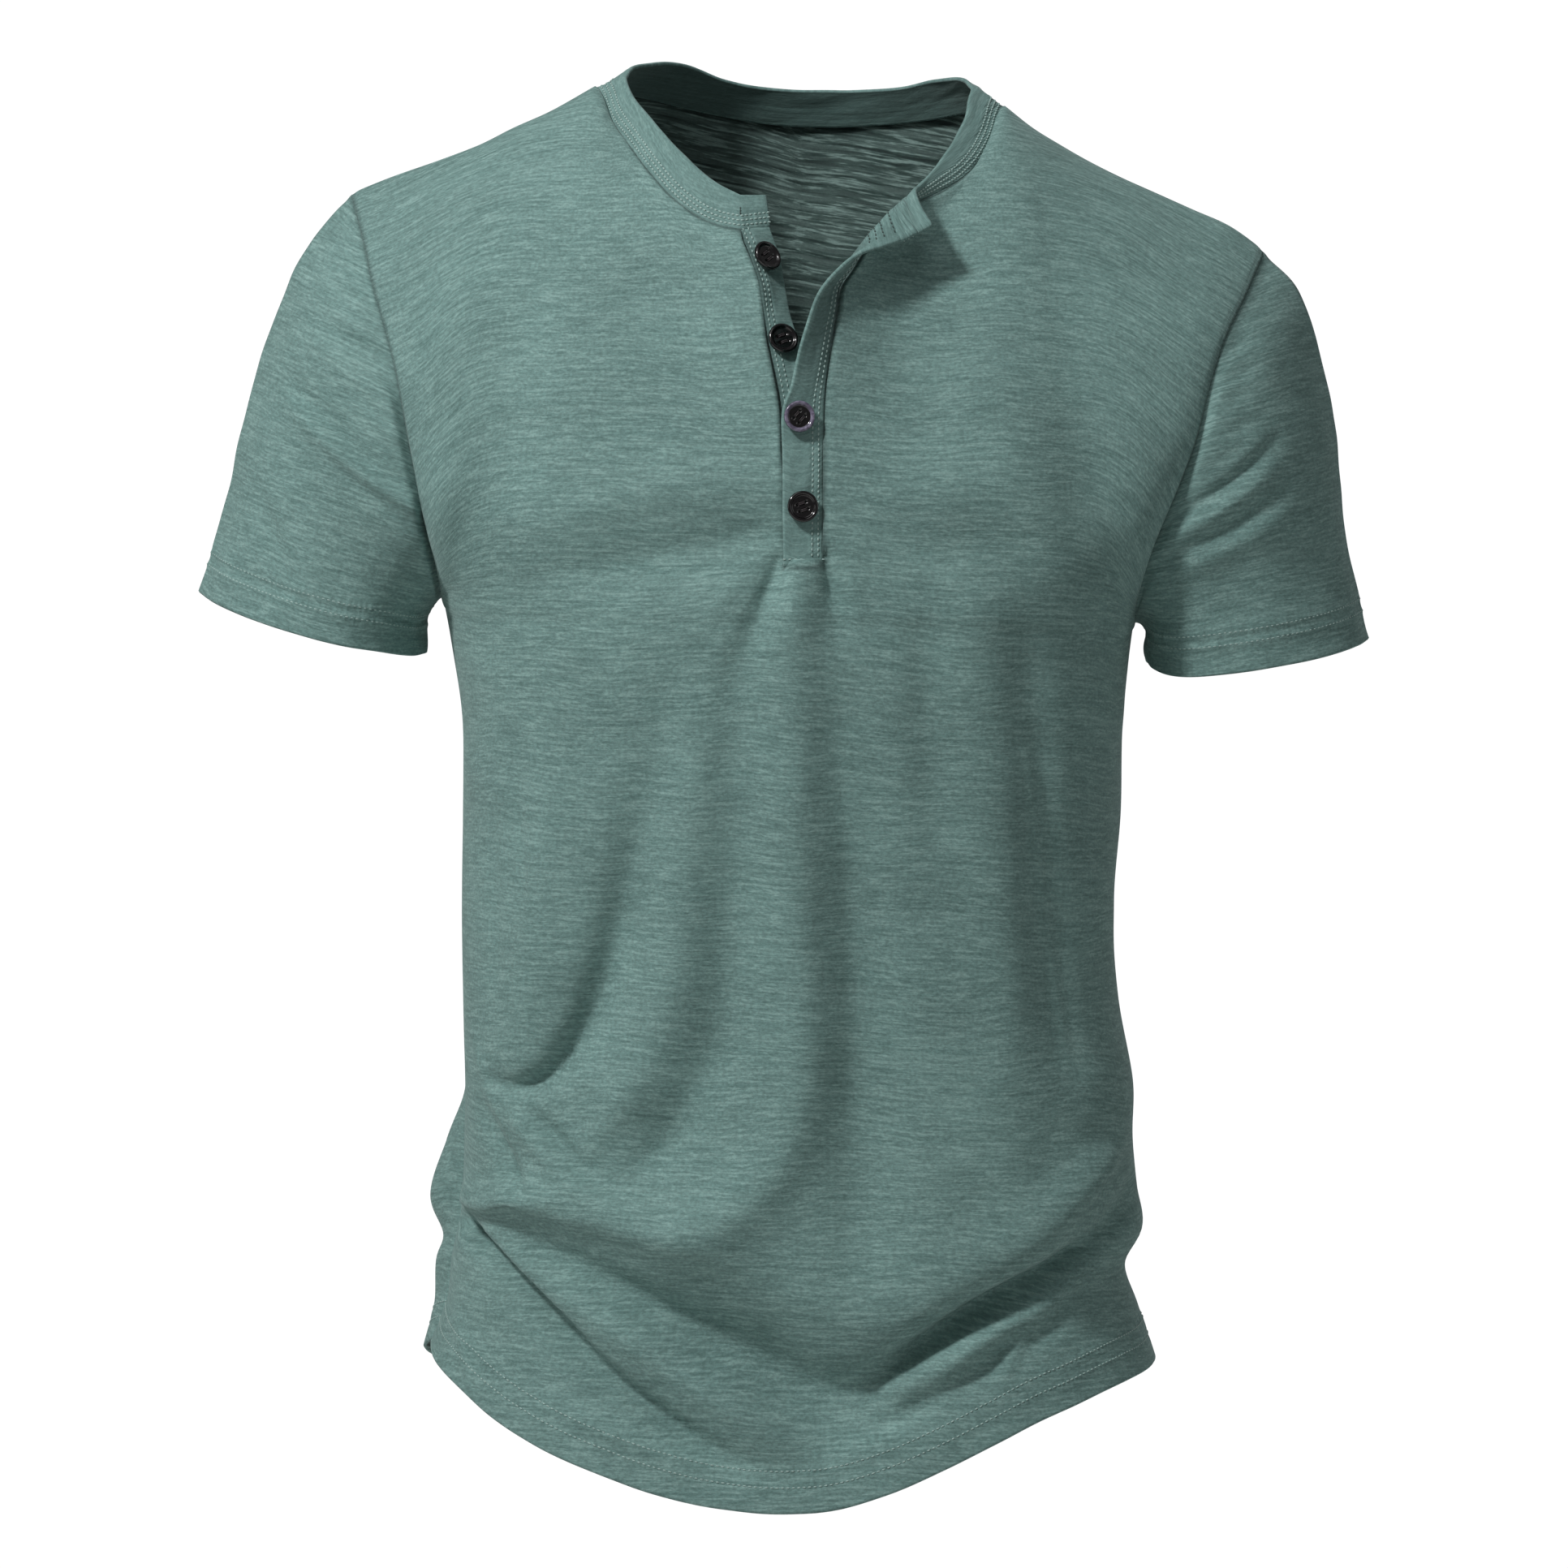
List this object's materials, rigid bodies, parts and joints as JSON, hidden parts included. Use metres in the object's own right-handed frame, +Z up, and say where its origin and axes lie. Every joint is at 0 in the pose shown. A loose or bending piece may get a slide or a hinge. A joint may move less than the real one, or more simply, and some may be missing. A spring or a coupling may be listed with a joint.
{
  "type": "henley shirt",
  "caption": "Short-sleeved henley shirt in slub jersey, standing as worn, with an open buttoned placket, a narrow neckband and a curved hem",
  "frame": {"origin": "the middle of the shoulder line, between the points where the shoulder seams meet the neckband", "axes": "+Z up, the front of the shirt faces -Y, and the wearer's left is +X"},
  "size_m": [0.579, 0.2356, 0.7015],
  "materials": {
    "jersey": "matt slub knit, sage green, darker streaked reverse",
    "button": "glossy dark brown-black"
  },
  "bodies": {
    "root": {"front_panel": "jersey", "back_panel": "jersey", "sleeve_right": "jersey", "sleeve_left": "jersey", "neckband": "jersey", "placket_under": "jersey", "placket_over": "jersey", "button_1": "button", "button_2": "button", "button_3": "button", "button_4": "button"}
  },
  "joints": []
}
